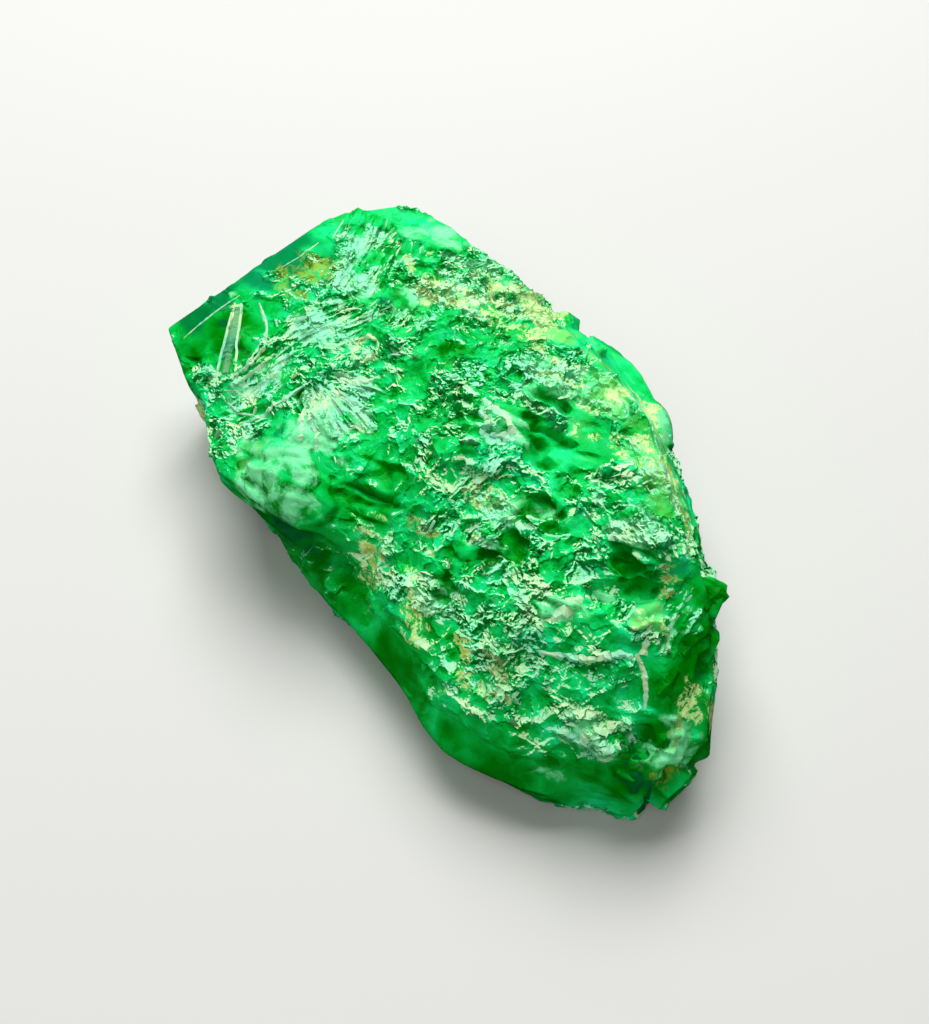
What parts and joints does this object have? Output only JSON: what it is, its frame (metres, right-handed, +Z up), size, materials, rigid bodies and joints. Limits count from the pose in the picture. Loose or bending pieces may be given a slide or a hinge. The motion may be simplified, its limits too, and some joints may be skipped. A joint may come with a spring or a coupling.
{
  "type": "rough emerald specimen",
  "caption": "Rough lump of emerald with a smooth crystal end, a hackly broken top and stubby columns at the other end, resting on its flattest side.",
  "frame": {"origin": "middle of the bounding box on the surface that the stone rests on", "axes": "+X along the length towards the columnar broken end, +Z up"},
  "size_m": [0.0378, 0.0216, 0.0122],
  "materials": {
    "emerald": "vivid green, glassy on fresh breaks, silky and whitish where fibrous, with cream crust"
  },
  "bodies": {
    "root": {"emerald": "emerald"}
  },
  "joints": []
}
